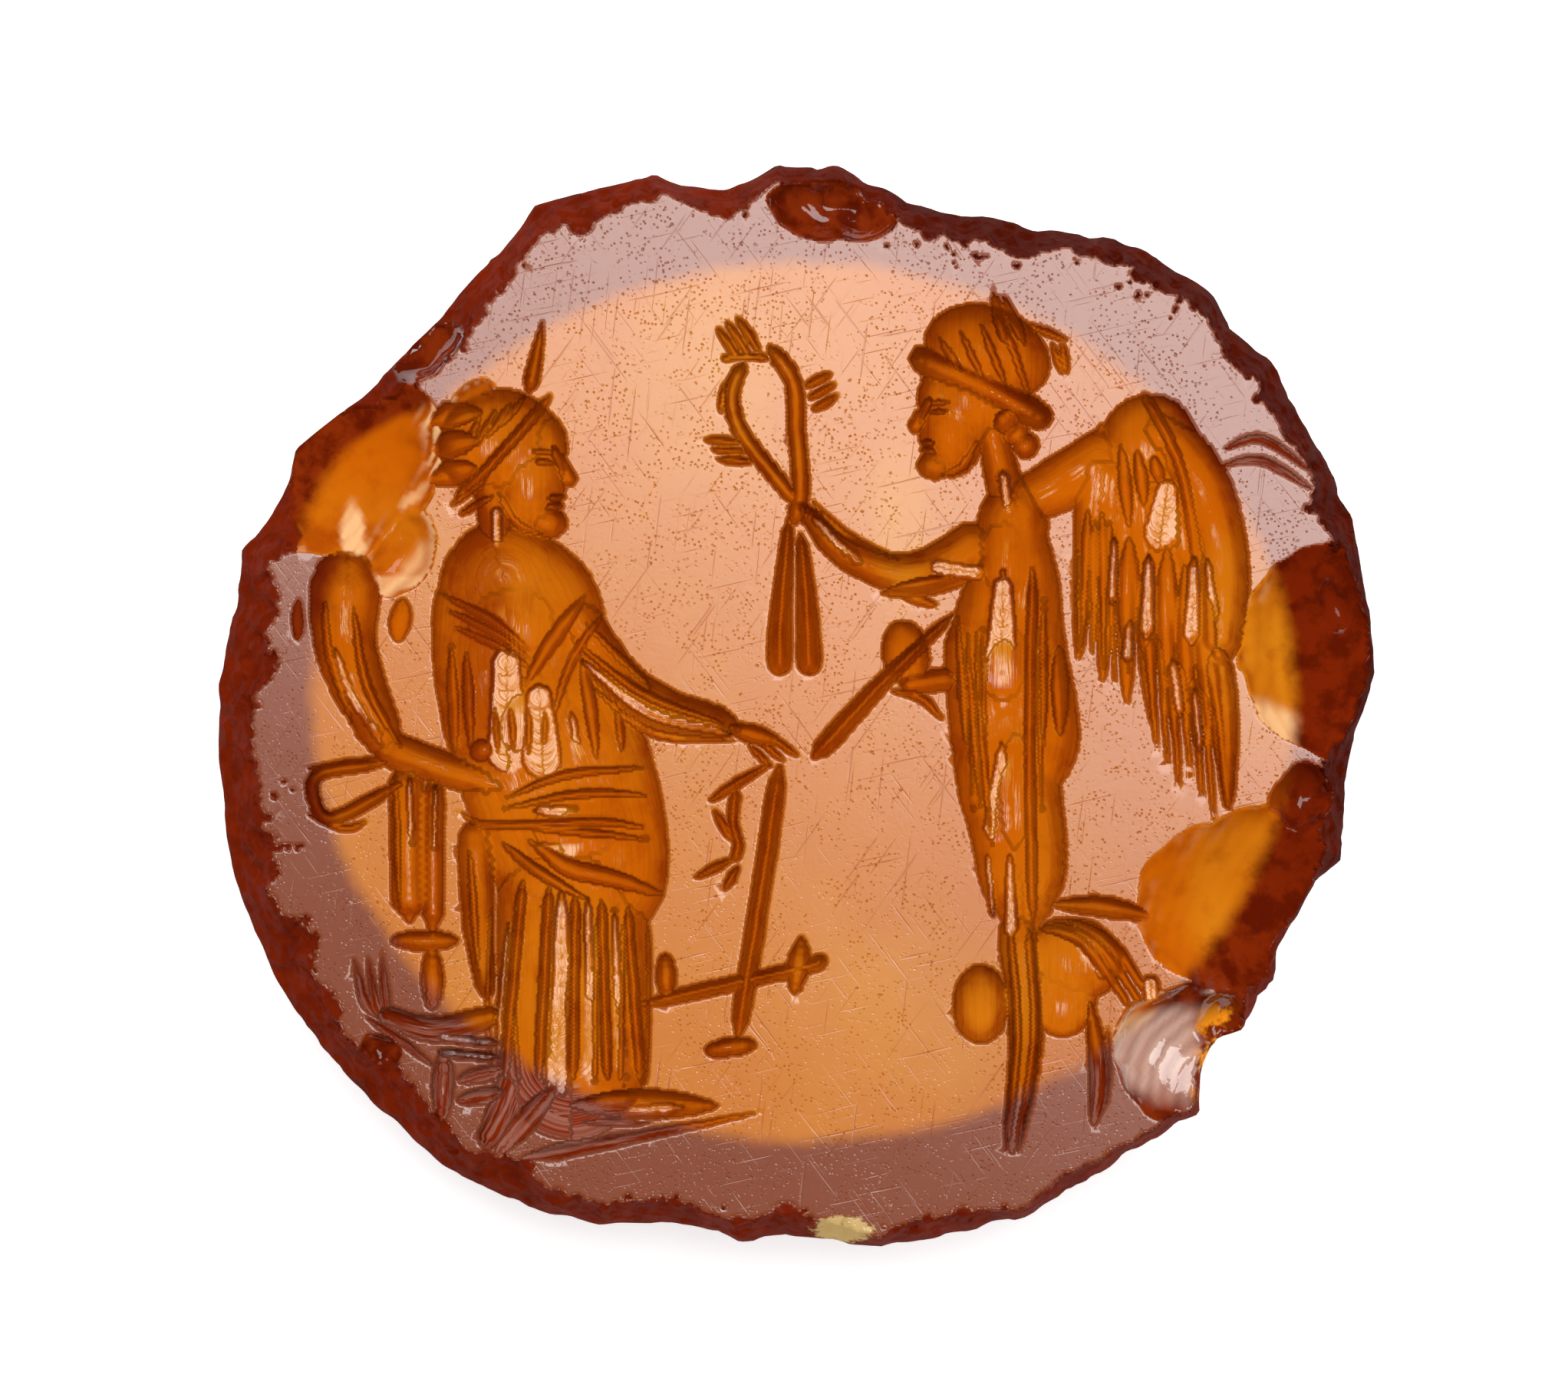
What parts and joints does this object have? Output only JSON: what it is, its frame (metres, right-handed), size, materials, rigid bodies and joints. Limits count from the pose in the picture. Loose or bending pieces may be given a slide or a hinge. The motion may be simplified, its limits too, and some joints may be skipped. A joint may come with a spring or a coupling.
{
  "type": "intaglio gem",
  "caption": "Oval carnelian ringstone with a flat polished face cut in intaglio with two facing figures, one robed and one winged; chipped rim, sides tapering to a flat back.",
  "frame": {"origin": "the middle of the underside: the stone lies on its flat back, face up", "axes": "+Z out of the carved face, +X to the right of the picture along the stone's length, +Y to the picture's top"},
  "size_m": [0.0151, 0.0142, 0.0032],
  "materials": {
    "carnelian": "polished, translucent"
  },
  "bodies": {
    "root": {"intaglio_stone": "carnelian"}
  },
  "joints": []
}
